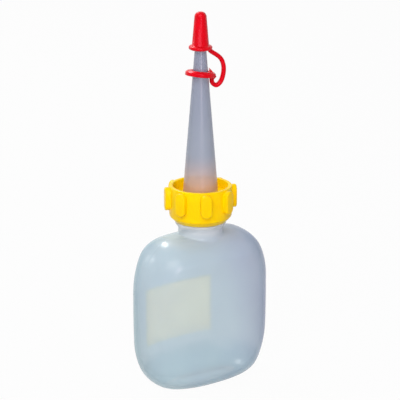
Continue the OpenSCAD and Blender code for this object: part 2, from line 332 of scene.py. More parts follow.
def crease_mesh(piece: bpy.types.Object, crease: float) -> None:
    """Shades a united piece smooth again, apart from its creases.

    Args:
        piece: Piece whose mesh came out of a union.
        crease: Angle in degrees from which an edge stays sharp.
    """
    bm = bmesh.new()
    bm.from_mesh(piece.data)
    bmesh.ops.remove_doubles(bm, verts=bm.verts, dist=UNION_WELD)
    shade(bm, crease)
    bm.to_mesh(piece.data)
    bm.free()


# Finishes

Finishes = dict[Slot, list[bpy.types.Material]]


class Nodes:
    """Short ways to add the nodes of one material."""

    def __init__(self, name: str) -> None:
        """Starts a material with an empty node tree.

        Args:
            name: Name of the material.
        """
        self.material = bpy.data.materials.new(name)
        self.material.use_nodes = True
        self.tree = self.material.node_tree
        self.tree.nodes.clear()
        self.output = self.tree.nodes.new("ShaderNodeOutputMaterial")
        self.place = self.add("ShaderNodeTexCoord").outputs["Object"]

    def add(self, kind: str, **inputs: object) -> Node:
        """Adds a node.

        Args:
            kind: Blender's name of the node type.
            **inputs: Values or sockets for its inputs, with _ for each space.

        Returns:
            The node.
        """
        node = self.tree.nodes.new(kind)
        for key, value in inputs.items():
            self.feed(node.inputs[key.replace("_", " ")], value)
        return node

    def feed(self, socket: Socket, value: object) -> None:
        """Links a socket, or sets its value.

        Args:
            socket: Input to feed.
            value: Socket to link, or value to set.
        """
        if isinstance(value, bpy.types.NodeSocket):
            self.tree.links.new(value, socket)
        else:
            socket.default_value = value

    def noise(self, scale: float, detail: float, stretch: Point = (1, 1, 1)) -> Socket:
        """Noise on Object coordinates.

        Args:
            scale: Size of the pattern, in repeats per metre.
            detail: Levels of finer noise.
            stretch: Scale of the pattern along X, Y and Z.

        Returns:
            The noise as a number from 0 to 1.
        """
        mapping = self.add("ShaderNodeMapping", Vector=self.place, Scale=stretch)
        texture = self.add(
            "ShaderNodeTexNoise", Vector=mapping.outputs["Vector"], Scale=scale, Detail=detail
        )
        return texture.outputs["Fac"]

    def coordinate(self, axis: str) -> Socket:
        """X, Y or Z of the place on the piece, in metres."""
        return self.add("ShaderNodeSeparateXYZ", Vector=self.place).outputs[axis]

    def ranged(
        self, value: Socket, low: float, high: float, start: float = 0.35, end: float = 0.65
    ) -> Socket:
        """Maps a number smoothly to another range.

        Args:
            value: Number to map.
            low: Result at and below start.
            high: Result at and above end.
            start: Start of the range that is read.
            end: End of the range that is read.

        Returns:
            The mapped number.
        """
        node = self.tree.nodes.new("ShaderNodeMapRange")
        node.interpolation_type = "SMOOTHSTEP"
        self.feed(node.inputs["Value"], value)
        limits = {"From Min": start, "From Max": end, "To Min": low, "To Max": high}
        for key, number in limits.items():
            node.inputs[key].default_value = number
        return node.outputs["Result"]

    def mixed(self, share: Socket, first: object, second: object) -> Socket:
        """Mixes two colours.

        Args:
            share: Share of the second colour.
            first: Colour or socket at a share of 0.
            second: Colour or socket at a share of 1.

        Returns:
            The mixed colour.
        """
        node = self.tree.nodes.new("ShaderNodeMix")
        node.data_type = "RGBA"
        self.feed(node.inputs[0], share)
        self.feed(node.inputs[6], first)
        self.feed(node.inputs[7], second)
        return node.outputs[2]

    def math(self, kind: str, first: object, second: object = 0.0) -> Socket:
        """Works out a number.

        Args:
            kind: Blender's name of the operation.
            first: First number or socket.
            second: Second number or socket.

        Returns:
            The result.
        """
        node = self.tree.nodes.new("ShaderNodeMath")
        node.operation = kind
        self.feed(node.inputs[0], first)
        self.feed(node.inputs[1], second)
        return node.outputs[0]

    def bump(self, height: Socket, strength: float, depth: float) -> Socket:
        """Turns a height from 0 to 1 into a normal, with the depth in metres of a height of 1."""
        node = self.add("ShaderNodeBump", Height=height, Strength=strength, Distance=depth)
        return node.outputs["Normal"]

    def blended(self, share: object, first: Node, second: Node) -> Socket:
        """Mixes two shaders.

        Args:
            share: Share of the second shader.
            first: Shader at a share of 0.
            second: Shader at a share of 1.

        Returns:
            The mixed shader.
        """
        mix = self.tree.nodes.new("ShaderNodeMixShader")
        self.feed(mix.inputs[0], share)
        self.feed(mix.inputs[1], first.outputs[0])
        self.feed(mix.inputs[2], second.outputs[0])
        return mix.outputs[0]

    def show(self, shader: Socket) -> bpy.types.Material:
        """Links the shader to the output and returns the material."""
        self.tree.links.new(shader, self.output.inputs["Surface"])
        return self.material


def rgb(red: int, green: int, blue: int) -> tuple[float, float, float, float]:
    """Colour with levels from 0 to 255, as a screen shows it, in Blender's linear light.

    Args:
        red: Level of red.
        green: Level of green.
        blue: Level of blue.

    Returns:
        The linear colour with an alpha of 1.
    """
    linear = []
    for level in (red, green, blue):
        c = level / 255
        linear.append(c / 12.92 if c <= 0.04045 else ((c + 0.055) / 1.055) ** 2.4)
    return (linear[0], linear[1], linear[2], 1.0)


@dataclass(frozen=True)
class GluedPatch:
    """Place on the +Y face where the label's glue wets the plastic, so that it hides less.

    The middle and the half sides are along X and Z, in metres.
    """

    middle: tuple[float, float]
    half: tuple[float, float]
    soft: float
    cover: float
    skin: float = 0.004


@dataclass(frozen=True)
class NaturalPlastic:
    """Unpigmented polyethylene: milky, partly clear, denser where it is seen edge-on."""

    name: str
    milk: tuple[int, int, int]
    milk_deep: tuple[int, int, int]
    cover: float
    edge_cover: float
    roughness: tuple[float, float]
    edge_from: float = 0.35
    ripple: float = 0.12
    lamp_share: float = 0.75
    gloss: float = 0.35
    patch: GluedPatch | None = None
    # Colour towards one end along Z: on the bottle a paler neck; on the nozzle, painted orange bounce light
    # from the yellow nut, strongest at the nut.
    tint_and_painted_bounce: tuple[int, int, int] | None = None
    tint_and_painted_bounce_z: tuple[float, float] = (0.0, 1.0)
    # Painted shade: colour, range along X and lean with height of a darkening towards the +X side, away from
    # the key lamp; on the nozzle it darkens the upper part.
    side: tuple[int, int, int] | None = None
    painted_shade_x: tuple[float, float] = (0.0, 1.0)
    painted_shade_lean: float = 0.0
    # Painted shade: the skin hides more towards the bottom, over the heights in foot_z, so that the lower
    # body renders darker.
    shaded_foot_cover: float = 0.0
    foot_z: tuple[float, float] = (0.0, 1.0)
    clouds: tuple[float, float] = (22.0, 2.0)
    cloud_range: tuple[float, float] = (0.25, 0.75)
    # Least share of the painted shade, where the clouds are lightest.
    painted_shade_fade: float = 0.75
    wear: tuple[float, float] = (160.0, 4.0)
    ripples: tuple[float, float] = (260.0, 2.0)
    ripple_depth: float = 0.0002

    def _patch_share(self, n: Nodes) -> Socket:
        """Share of the glued patch at a place, from 0 outside it to 1 inside.

        Args:
            n: Nodes of the material.

        Returns:
            The share.
        """
        patch = self.patch
        share = n.ranged(n.coordinate("Y"), 0, 1, 0.0, patch.skin)
        for axis, middle, half in zip("XZ", patch.middle, patch.half):
            away = n.math("ABSOLUTE", n.math("SUBTRACT", n.coordinate(axis), middle))
            within = n.ranged(away, 1, 0, half - patch.soft, half + patch.soft / 3)
            share = n.math("MULTIPLY", share, within)
        return share

    def _cover(self, n: Nodes) -> Socket | float:
        """Share of the light that one skin scatters, higher where it is seen edge-on and, as painted shade,
        towards the bottom.

        Args:
            n: Nodes of the material.

        Returns:
            The share, a plain number where it is the same all over.
        """
        cover: Socket | float = self.cover
        if self.edge_cover != self.cover:
            facing = n.add("ShaderNodeLayerWeight", Blend=0.5).outputs["Facing"]
            cover = n.ranged(facing, self.cover, self.edge_cover, self.edge_from, 1.0)
        if self.patch:
            wetted = n.math("MULTIPLY", self._patch_share(n), 1 - self.patch.cover)
            cover = n.math("MULTIPLY", cover, n.math("SUBTRACT", 1.0, wetted))
        # Painted shade: the skin hides more towards the bottom, so that the lower body renders darker.
        if self.shaded_foot_cover:
            foot = n.ranged(n.coordinate("Z"), self.shaded_foot_cover, 0, *self.foot_z)
            cover = n.math("MAXIMUM", cover, foot)
        return cover

    def _colour(self, n: Nodes) -> Socket:
        """Milky colour with slow clouds, with painted shade towards one side and a colour shift towards one
        end where asked for.

        Args:
            n: Nodes of the material.

        Returns:
            The colour.
        """
        cloud = n.noise(*self.clouds)
        deep = n.ranged(cloud, 0, 1, *self.cloud_range)
        colour = n.mixed(deep, rgb(*self.milk), rgb(*self.milk_deep))
        # Painted shade: darker towards +X, with higher places counted as further that way.
        if self.side:
            lean = n.math("MULTIPLY", n.coordinate("Z"), self.painted_shade_lean)
            across = n.math("ADD", n.coordinate("X"), lean)
            side = n.ranged(across, 0, 1, *self.painted_shade_x)
            share = n.math("MULTIPLY", side, n.ranged(cloud, self.painted_shade_fade, 1))
            colour = n.mixed(share, colour, rgb(*self.side))
        # Colour towards one end along Z: a paler neck on the bottle, painted orange bounce light from the
        # yellow nut on the nozzle.
        if self.tint_and_painted_bounce:
            full, none = self.tint_and_painted_bounce_z
            levels = (1, 0, full, none) if full < none else (0, 1, none, full)
            colour = n.mixed(n.ranged(n.coordinate("Z"), *levels), colour, rgb(*self.tint_and_painted_bounce))
        return colour

    def material(self) -> bpy.types.Material:
        """Builds the material.

        Returns:
            The material.
        """
        n = Nodes(self.name)
        shader = n.add(
            "ShaderNodeBsdfPrincipled",
            Base_Color=self._colour(n),
            Roughness=n.ranged(n.noise(*self.wear), *self.roughness),
            IOR=PLASTIC_IOR,
            Specular_IOR_Level=self.gloss,
            Alpha=self._cover(n),
            Normal=n.bump(n.noise(*self.ripples), self.ripple, self.ripple_depth),
        )
        path = n.add("ShaderNodeLightPath").outputs
        lamp_ray = n.math("MAXIMUM", path["Is Shadow Ray"], path["Is Diffuse Ray"])
        through = n.add("ShaderNodeBsdfTransparent", Color=(1, 1, 1, 1))
        share = n.math("MULTIPLY", lamp_ray, self.lamp_share)
        return n.show(n.blended(share, shader, through))


@dataclass(frozen=True)
class ColouredPlastic:
    """Pigmented moulded plastic with a soft gloss and a little depth."""

    name: str
    colour: tuple[int, int, int]
    deep: tuple[int, int, int]
    roughness: tuple[float, float]
    depth: float
    gloss: float
    gloss_tint: tuple[float, float, float]
    glow: float = 0.12
    glow_reach: tuple[float, float, float] = (1.0, 0.45, 0.1)
    clouds: tuple[float, float] = (90.0, 3.0)
    wear: tuple[float, float] = (500.0, 3.0)
    grain: tuple[float, float] = (1800.0, 2.0)
    grain_strength: float = 0.25
    grain_depth: float = 0.00008

    def material(self) -> bpy.types.Material:
        """Builds the material.

        Returns:
            The material.
        """
        n = Nodes(self.name)
        cloud = n.noise(*self.clouds)
        shader = n.add(
            "ShaderNodeBsdfPrincipled",
            Base_Color=n.mixed(n.ranged(cloud, 0, 1), rgb(*self.colour), rgb(*self.deep)),
            Roughness=n.ranged(n.noise(*self.wear), *self.roughness),
            IOR=PLASTIC_IOR,
            Specular_IOR_Level=self.gloss,
            Specular_Tint=(*self.gloss_tint, 1.0),
            Subsurface_Weight=self.glow,
            Subsurface_Radius=self.glow_reach,
            Subsurface_Scale=self.depth,
            Normal=n.bump(n.noise(*self.grain), self.grain_strength, self.grain_depth),
        )
        return n.show(shader.outputs["BSDF"])


@dataclass(frozen=True)
class LabelPaper:
    """Blank uncoated label stock with faint fibres."""

    name: str = "label_paper"
    colour: tuple[int, int, int] = (253, 250, 232)
    fibre: tuple[int, int, int] = (248, 243, 222)
    sheer: float = 0.6
    fibres: tuple[float, float] = (900.0, 5.0)
    fibre_stretch: tuple[float, float, float] = (1.0, 1.0, 2.4)
    fibre_strength: float = 0.3
    fibre_depth: float = 0.00005
    roughness: tuple[float, float] = (0.6, 0.75)

    def material(self) -> bpy.types.Material:
        """Builds the material.

        Returns:
            The material.
        """
        n = Nodes(self.name)
        fibres = n.noise(*self.fibres, self.fibre_stretch)
        colour = n.mixed(n.ranged(fibres, 0, 1), rgb(*self.colour), rgb(*self.fibre))
        shader = n.add(
            "ShaderNodeBsdfPrincipled",
            Base_Color=colour,
            Roughness=n.ranged(fibres, *self.roughness),
            Normal=n.bump(fibres, self.fibre_strength, self.fibre_depth),
        )
        glow = n.add("ShaderNodeBsdfTranslucent", Color=colour)
        return n.show(n.blended(self.sheer, shader, glow))


def make_finishes() -> Finishes:
    """Makes the materials of every slot, the outer skin first and the hidden skins after it.

    Returns:
        Materials of each slot, by the index that the faces hold.
    """
    natural = NaturalPlastic(
        name="natural_plastic",
        milk=(169, 197, 206),
        milk_deep=(158, 184, 200),
        cover=0.5,
        edge_cover=0.95,
        roughness=(0.2, 0.26),
        gloss=0.42,
        patch=GluedPatch(middle=(-0.001, 0.035), half=(0.0235, 0.0175), soft=0.002, cover=0.1),
        tint_and_painted_bounce=(216, 222, 224),
        tint_and_painted_bounce_z=(0.096, 0.084),
        # Painted shade towards +X, the side away from the key lamp.
        side=(138, 154, 188),
        painted_shade_x=(0.019, 0.054),
        painted_shade_lean=0.4,
        # Painted shade at the foot: the skin hides more near the bottom.
        shaded_foot_cover=0.8,
        foot_z=(0.004, 0.026),
    )
    natural_inside = NaturalPlastic(
        name="natural_plastic_inside",
        milk=(160, 183, 199),
        milk_deep=(153, 177, 196),
        cover=0.12,
        edge_cover=0.3,
        roughness=(0.45, 0.5),
        gloss=0.05,
    )
    natural_base = replace(
        natural_inside, name="natural_plastic_base", cover=0.55, edge_cover=0.55
    )
    nozzle = NaturalPlastic(
        name="nozzle_plastic",
        milk=(142, 153, 170),
        milk_deep=(133, 144, 164),
        cover=0.68,
        edge_cover=0.95,
        roughness=(0.2, 0.24),
        ripple=0.05,
        gloss=0.7,
        # Painted orange bounce light from the yellow nut, fading upwards from the flange.
        tint_and_painted_bounce=(220, 173, 143),
        tint_and_painted_bounce_z=(0.109, 0.137),
        # Darker towards the top of the cone.
        side=(122, 130, 155),
        painted_shade_x=(0.14, 0.2),
        painted_shade_lean=1.0,
    )
    nozzle_inside = NaturalPlastic(
        name="nozzle_plastic_inside",
        milk=(160, 163, 180),
        milk_deep=(152, 156, 174),
        cover=0.2,
        edge_cover=0.4,
        roughness=(0.3, 0.4),
    )
    yellow = ColouredPlastic(
        name="yellow_plastic",
        colour=(252, 212, 0),
        deep=(249, 203, 0),
        roughness=(0.28, 0.36),
        depth=0.002,
        gloss=0.25,
        gloss_tint=(1.0, 0.85, 0.3),
    )
    red = ColouredPlastic(
        name="red_plastic",
        colour=(222, 0, 20),
        deep=(205, 0, 15),
        roughness=(0.24, 0.3),
        depth=0.0008,
        gloss=0.34,
        gloss_tint=(1.0, 0.25, 0.4),
    )
    kinds = {
        Slot.NATURAL: (natural, natural_inside, natural_base),
        Slot.LABEL: (LabelPaper(),),
        Slot.NOZZLE: (nozzle, nozzle_inside),
        Slot.YELLOW: (yellow,),
        Slot.RED: (red,),
    }
    return {slot: [kind.material() for kind in row] for slot, row in kinds.items()}


# Pieces


def dress(
    piece: bpy.types.Object, body: Body, slot: Slot, finishes: Finishes, *nodes: str
) -> None:
    """Gives a piece its finishes, its slot and its body, and reports it.

    Args:
        piece: Piece to dress.
        body: Body that it rides on.
        slot: Material slot of the record.
        finishes: Materials of each slot, by the index that the faces hold.
        *nodes: CAD nodes that it stands for.
    """
    indices = [f.material_index for f in piece.data.polygons]
    piece.data.materials.clear()
    for finish in finishes[slot]:
        piece.data.materials.append(finish)
    piece.data.polygons.foreach_set("material_index", indices)
    if nodes:
        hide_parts(*nodes)
    if piece.parent is None and "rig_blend" not in piece:
        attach(piece, body.value)
    LOG.info("%s: %d faces, rides on %s", piece.name, len(piece.data.polygons), body.value)


@dataclass
class OvalForm:
    """One skin of the body: an oval section that swells and closes with the height.

    The half width is 0.06 mm under the part's own, so that the mould seams end where it does.
    """

    bottom: float = 0.0
    top: float = 89.0
    half_width: float = 42.44
    half_depth: float = 22.5
    side_bow: float = 1.9
    face_bow: float = 0.6
    middle: float = 44.5
    side_foot: tuple[float, float] = (28.0, 17.0)
    face_foot: tuple[float, float] = (9.0, 14.5)
    side_shoulder: tuple[float, float] = (34.0, 21.0)
    face_shoulder: tuple[float, float] = (12.5, 20.0)
    exponent: float = 2.4
    crown_exponent: float = 3.0
    crown_start: float = 55.0
    crown_end: float = 89.0

    def inside(self, wall: float, floor: float) -> "OvalForm":
        """The skin on the other side of the wall.

        Args:
            wall: Thickness of the walls.
            floor: Thickness of the floor.

        Returns:
            The inner skin.
        """
        return OvalForm(
            bottom=self.bottom + floor,
            top=self.top - wall,
            half_width=self.half_width - wall,
            half_depth=self.half_depth - wall,
            side_foot=(self.side_foot[0] - floor, self.side_foot[1] - wall),
            face_foot=(self.face_foot[0] - floor, self.face_foot[1] - wall),
            side_shoulder=(self.side_shoulder[0] - wall, self.side_shoulder[1] - wall),
            face_shoulder=(self.face_shoulder[0] - wall, self.face_shoulder[1] - wall),
        )

    def _inset(self, z: float, foot: tuple[float, float], shoulder: tuple[float, float]) -> float:
        """How far the corner curves pull the skin in at a height.

        Args:
            z: Height.
            foot: Height and depth of the curve at the foot.
            shoulder: Height and depth of the curve at the shoulder.

        Returns:
            The distance.
        """
        up, down = z - self.bottom, self.top - z
        if up < foot[0]:
            part, depth = (foot[0] - up) / foot[0], foot[1]
        elif down < shoulder[0]:
            part, depth = (shoulder[0] - down) / shoulder[0], shoulder[1]
        else:
            return 0.0
        return depth * (1 - math.sqrt(max(0.0, 1 - part * part)))

    def section(self, z: float) -> tuple[float, float, float]:
        """Half width, half depth and exponent of the oval at a height.

        Args:
            z: Height.

        Returns:
            The three numbers.
        """
        bow = ((z - self.middle) / self.middle) ** 2
        width = self.half_width - self.side_bow * bow
        width -= self._inset(z, self.side_foot, self.side_shoulder)
        depth = self.half_depth - self.face_bow * bow
        depth -= self._inset(z, self.face_foot, self.face_shoulder)
        share = min(1.0, max(0.0, (z - self.crown_start) / (self.crown_end - self.crown_start)))
        return width, depth, self.exponent + (self.crown_exponent - self.exponent) * share

    def radius(self, angle: float, z: float) -> float:
        """Distance of the skin from the axis, in a direction in radians and at a height."""
        return oval_radius(angle, *self.section(z))

    def face(self, x: float, z: float) -> float:
        """Distance of the +Y face from the middle plane at a place on it."""
        width, depth, n = self.section(z)
        return depth * max(0.0, 1 - (abs(x) / width) ** n) ** (1 / n)

    def shoulder_column(self, angle: float, neck: float, count: int) -> list[tuple[float, float]]:
        """Profile from the straight side over the shoulder to where it meets the neck.

        Args:
            angle: Direction about the axis, in radians.
            neck: Radius of the neck.
            count: Number of steps.

        Returns:
            Points (radius, height), closer together towards the neck.
        """
        start = self.top - self.side_shoulder[0]
        points = []
        for k in range(SHOULDER_SAMPLES + 1):
            z = start + self.side_shoulder[0] * math.sin(math.pi / 2 * k / SHOULDER_SAMPLES)
            r = self.radius(angle, z)
            if r < neck:
                last_r, last_z = points[-1]
                share = (last_r - neck) / (last_r - r)
                points.append((neck, last_z + (z - last_z) * share))
                break
            points.append((r, z))
        else:
            points.append((neck, self.top))
        line = np.array(points)
        steps = np.hypot(*np.diff(line, axis=0).T)
        along = np.concatenate([[0.0], np.cumsum(steps)])
        t = np.linspace(0, 1, count + 1)
        wanted = along[-1] * (1 - (1 - t) ** SHOULDER_CROWDING)
        return list(zip(np.interp(wanted, along, line[:, 0]), np.interp(wanted, along, line[:, 1])))


def oval_radius(angle: float, width: float, depth: float, exponent: float) -> float:
    """Distance of an oval's edge from its middle, where an exponent of 2 is an ellipse."""
    c, s = abs(math.cos(angle)), abs(math.sin(angle))
    return ((c / width) ** exponent + (s / depth) ** exponent) ** (-1 / exponent)


@dataclass
class ThreadForm:
    """Coarse right-hand thread ridge."""

    root: float
    crest: float
    start_z: float
    turns: float
    pitch: float = 4.0
    root_width: float = 1.8
    crest_width: float = 1.0
    sink: float = 0.5
    lead: float = 30.0
    lead_end: float = 0.1
    steps: int = 48

    def build(self, bm: BMesh) -> None:
        """Adds the ridge as a closed shell sunk into the wall that carries it.

        Args:
            bm: Mesh that takes the ridge.
        """
        count = round(self.turns * self.steps)
        full = 360 * count / self.steps
        out = 1 if self.crest > self.root else -1
        inner = self.root - out * self.sink
        sweep = None
        for k in range(count + 1):
            turn = 360 * k / self.steps
            lead = min(1.0, min(turn, full - turn) / self.lead)
            crest = self.root + (self.crest - self.root) * max(self.lead_end, lead)
            z = self.start_z + self.pitch * k / self.steps
            a = math.radians(turn)
            corners = (
                (inner, -self.root_width / 2),
                (crest, -self.crest_width / 2),
                (crest, self.crest_width / 2),
                (inner, self.root_width / 2),
            )
            ring = [(r * math.cos(a), r * math.sin(a), z + dz) for r, dz in corners]
            if sweep is None:
                sweep = Sweep(bm, ring)
            else:
                sweep.grow(ring)
        sweep.close()


@dataclass
class Bottle:
    """Blown bottle: oval body, hollow base, blended neck, collar and threaded finish."""

    form: OvalForm = field(default_factory=OvalForm)
    wall: float = 1.2
    floor: float = 2.2
    push_up: float = 1.0
    rest_ring: float = 5.0
    neck_r: float = 12.7
    bore_r: float = 9.8
    taper_z: float = 92.6
    collar_r: float = 14.5
    collar_z: float = 95.0
    collar_top: float = 96.1
    finish_r: float = 11.8
    rim_z: float = 107.7
    thread_top: float = 12.9
    thread_z: float = 99.5
    thread_turns: float = 1.6
    columns: int = 128
    seam_half: float = 0.35
    seam_height: float = 0.06
    lip_round: float = 0.35
    foot_rings: int = 16
    side_rings: int = 8
    shoulder_rings: int = 34
    neck_rings: int = 6
    blend_rings: int = 9
    blend_passes: int = 14
    inside_finish: int = 1
    base_finish: int = 2

    def angles(self) -> list[float]:
        """Directions of the columns, with two close beside each mould seam.

        Returns:
            The directions in radians, in rising order.
        """
        close = self.seam_half / self.form.half_width
        even = [math.tau * i / self.columns for i in range(self.columns)]
        beside = [close, math.pi - close, math.pi + close, math.tau - close]
        return sorted(even + beside)

    def _level(self, angles: list[float], form: OvalForm, z: float) -> list[Point]:
        """Ring of points around one skin at a height."""
        return ring_points(angles, [form.radius(a, z) for a in angles], z)

    def _round(self, angles: list[float], radius: float, z: float) -> list[Point]:
        """Ring of points around the neck."""
        return ring_points(angles, [radius] * len(angles), z)

    def _hollow(self, angles: list[float], shrink: float, z: float) -> list[Point]:
        """Ring of points inside the rest ring.

        Args:
            angles: Directions of the columns.
            shrink: How far the ring is drawn in.
            z: Height of the ring.

        Returns:
            The points in order.
        """
        width, depth, n = self.form.section(self.form.bottom)
        width -= self.rest_ring + shrink
        depth -= self.rest_ring / 2 + shrink
        return ring_points(angles, [oval_radius(a, width, depth, n) for a in angles], z)

    def _shoulder(
        self, angles: list[float], form: OvalForm, neck: float, end: float
    ) -> list[list[Point]]:
        """Rings over the shoulder and up the neck.

        Args:
            angles: Directions of the columns.
            form: Skin that they follow.
            neck: Radius of the neck on that skin.
            end: Height of the last ring.

        Returns:
            The rings from the straight sides upwards.
        """
        columns = []
        for a in angles:
            column = form.shoulder_column(a, neck, self.shoulder_rings)
            foot = column[-1][1]
            column += [
                (neck, foot + (end - foot) * k / self.neck_rings)
                for k in range(1, self.neck_rings + 1)
            ]
            columns.append([(r * math.cos(a), r * math.sin(a), z) for r, z in column])
        return [list(ring) for ring in zip(*columns)]

    def _foot(self, angles: list[float], form: OvalForm) -> list[list[Point]]:
        """Rings of one skin from the floor to where the shoulder starts.

        Args:
            angles: Directions of the columns.
            form: Skin that they follow.

        Returns:
            The rings from the floor upwards.
        """
        height = form.side_foot[0]
        low, high = form.bottom + height, form.top - form.side_shoulder[0]
        levels = [
            form.bottom + height * (1 - math.cos(math.pi / 2 * k / self.foot_rings))
            for k in range(self.foot_rings + 1)
        ]
        levels += [low + (high - low) * k / self.side_rings for k in range(1, self.side_rings)]
        return [self._level(angles, form, z) for z in levels]

    def _blend(self, bm: BMesh, rings: list[list[BMVert]]) -> None:
        """Melts the neck into the shoulder.

        Args:
            bm: Mesh of the bottle.
            rings: Rings that are smoothed.
        """
        verts = [v for ring in rings for v in ring]
        for _ in range(self.blend_passes):
            bmesh.ops.smooth_vert(
                bm, verts=verts, factor=0.5, use_axis_x=True, use_axis_y=True, use_axis_z=True
            )

    def _raise_seam(self, rings: list[list[BMVert]], columns: Sequence[int]) -> None:
        """Lifts the mould seam off the skin.

        Args:
            rings: Rings of the body that carry the seam.
            columns: Columns that lie on the seam.
        """
        for low, ring, high in zip(rings, rings[1:], rings[2:]):
            for i in columns:
                along = (high[i].co - low[i].co).normalized()
                out = along.cross(Vector((0, math.copysign(1, ring[i].co.x), 0))).normalized()
                if out.x * ring[i].co.x < 0:
                    out.negate()
                ring[i].co += out * self.seam_height

    def build(self) -> bpy.types.Object:
        """Makes the bottle's mesh.

        Returns:
            The bottle.
        """
        bm = bmesh.new()
        angles = self.angles()
        outside, inside = self.form, self.form.inside(self.wall, self.floor)
        sweep = Sweep(bm, self._hollow(angles, self.push_up, self.push_up))
        sweep.grow(self._hollow(angles, 0, self.form.bottom))
        for ring in self._foot(angles, outside):
            sweep.grow(ring)
        body_start = len(sweep.rings)
        for ring in self._shoulder(angles, outside, self.neck_r, self.taper_z):
            sweep.grow(ring)
        corner = body_start + self.shoulder_rings
        neck_end = len(sweep.rings) - 1
        neck = (
            (self.collar_r, self.collar_z),
            (self.collar_r, self.collar_top),
            (self.finish_r, self.collar_top),
            (self.finish_r, self.rim_z),
            (self.bore_r, self.rim_z),
        )
        for radius, z in neck:
            sweep.grow(self._round(angles, radius, z))
        inner_start = len(sweep.rings)
        for ring in reversed(self._shoulder(angles, inside, self.bore_r, self.taper_z)):
            sweep.grow(ring)
        inner_corner = inner_start + self.neck_rings
        for ring in reversed(self._foot(angles, inside)):
            sweep.grow(ring)
        sweep.close()
        hidden = {v for ring in sweep.rings[inner_start:] for v in ring}
        under = {v for ring in sweep.rings[:3] for v in ring}
        for face in bm.faces:
            if all(v in hidden for v in face.verts):
                face.material_index = self.inside_finish
            elif all(v in under for v in face.verts):
                face.material_index = self.base_finish
        self._blend(bm, sweep.rings[corner - self.blend_rings : neck_end])
        self._blend(bm, sweep.rings[inner_start + 1 : inner_corner + self.blend_rings])
        seams = [angles.index(0.0), angles.index(math.pi)]
        self._raise_seam(sweep.rings[4 : neck_end - 2], seams)
        lips = [neck_end + 1, neck_end + 2, neck_end + 4, neck_end + 5]
        round_edges(bm, [e for i in lips for e in sweep.ring_edges(i)], self.lip_round, segments=3)
        ThreadForm(
            root=self.finish_r,
            crest=self.thread_top,
            start_z=self.thread_z,
            turns=self.thread_turns,
        ).build(bm)
        return finish_mesh(bm, "bottle_shell", crease=50)


@dataclass
class Label:
    """Blank paper label on the +Y face."""

    form: OvalForm
    width: float = 47.0
    height: float = 35.0
    low: float = 17.5
    middle: float = -1.0
    thickness: float = 0.2
    lift: float = 0.1
    columns: int = 28
    rows: int = 20

    def build(self) -> bpy.types.Object:
        """Makes the label's mesh.

        Returns:
            The label.
        """
        bm = bmesh.new()
        bmesh.ops.create_grid(bm, x_segments=self.columns, y_segments=self.rows, size=0.5)
        for vert in bm.verts:
            x = self.middle - vert.co.x * self.width
            z = self.low + (vert.co.y + 0.5) * self.height
            vert.co = Vector((x, self.form.face(x, z) + self.lift, z))
        bmesh.ops.recalc_face_normals(bm, faces=bm.faces)
        if bm.faces[:][0].normal.y < 0:
            bmesh.ops.reverse_faces(bm, faces=bm.faces)
        bmesh.ops.solidify(bm, geom=bm.faces[:], thickness=-self.thickness)
        return finish_mesh(bm, "label_sheet", crease=40)


@dataclass
class Nozzle:
    """Long hollow cone with the flange that the nut clamps and a plug into the neck."""

    plug_r: float = 9.5
    plug_z: float = 102.7
    flange_r: float = 12.3
    flange_z: float = 107.7
    cone_z: float = 109.9
    tip_z: float = 207.9
    tip_r: float = 2.1
    outlet_r: float = 1.0
    slope: float = 7.5 / 91
    wall: float = 1.2
    plug_lead: tuple[float, float] = (0.3, 0.4)
    flange_edge: float = 0.2
    tip_round: float = 0.3
    steps: int = 96
    rows: int = 14

    def cone_at(self, z: float) -> float:
        """Outer radius of the cone at a height."""
        return self.tip_r + self.slope * (self.tip_z - z)

    def build(self) -> bpy.types.Object:
        """Makes the nozzle's mesh.

        Returns:
            The nozzle.
        """
        bm = bmesh.new()
        heights = np.linspace(self.cone_z, self.tip_z, self.rows, endpoint=False).tolist()
        bore = self.cone_at(self.cone_z) - self.wall
        edge, tip = self.flange_edge, self.tip_round
        lead, rise = self.plug_lead
        profile = [
            (self.plug_r - self.wall, self.plug_z),
            (self.plug_r - lead, self.plug_z),
            (self.plug_r, self.plug_z + rise),
            (self.plug_r, self.flange_z),
            (self.flange_r - edge, self.flange_z),
            (self.flange_r, self.flange_z + edge),
            (self.flange_r, self.cone_z - edge),
            (self.flange_r - edge, self.cone_z),
            *((self.cone_at(z), z) for z in heights),
            *arc(self.tip_r - tip, self.tip_z - tip, tip, 5, 90, 3),
            (self.outlet_r, self.tip_z),
            (self.outlet_r + (bore - self.outlet_r) / 2, (self.tip_z + self.cone_z) / 2),
            (bore, self.cone_z),
        ]
        turn_profile(bm, profile, self.steps)
        for face in bm.faces:
            middle = face.calc_center_median()
            skin = self.cone_at(middle.z) if middle.z > self.cone_z else self.plug_r
            face.material_index = int(math.hypot(middle.x, middle.y) < skin - self.wall / 2)
        return finish_mesh(bm, "nozzle_cone", crease=40)


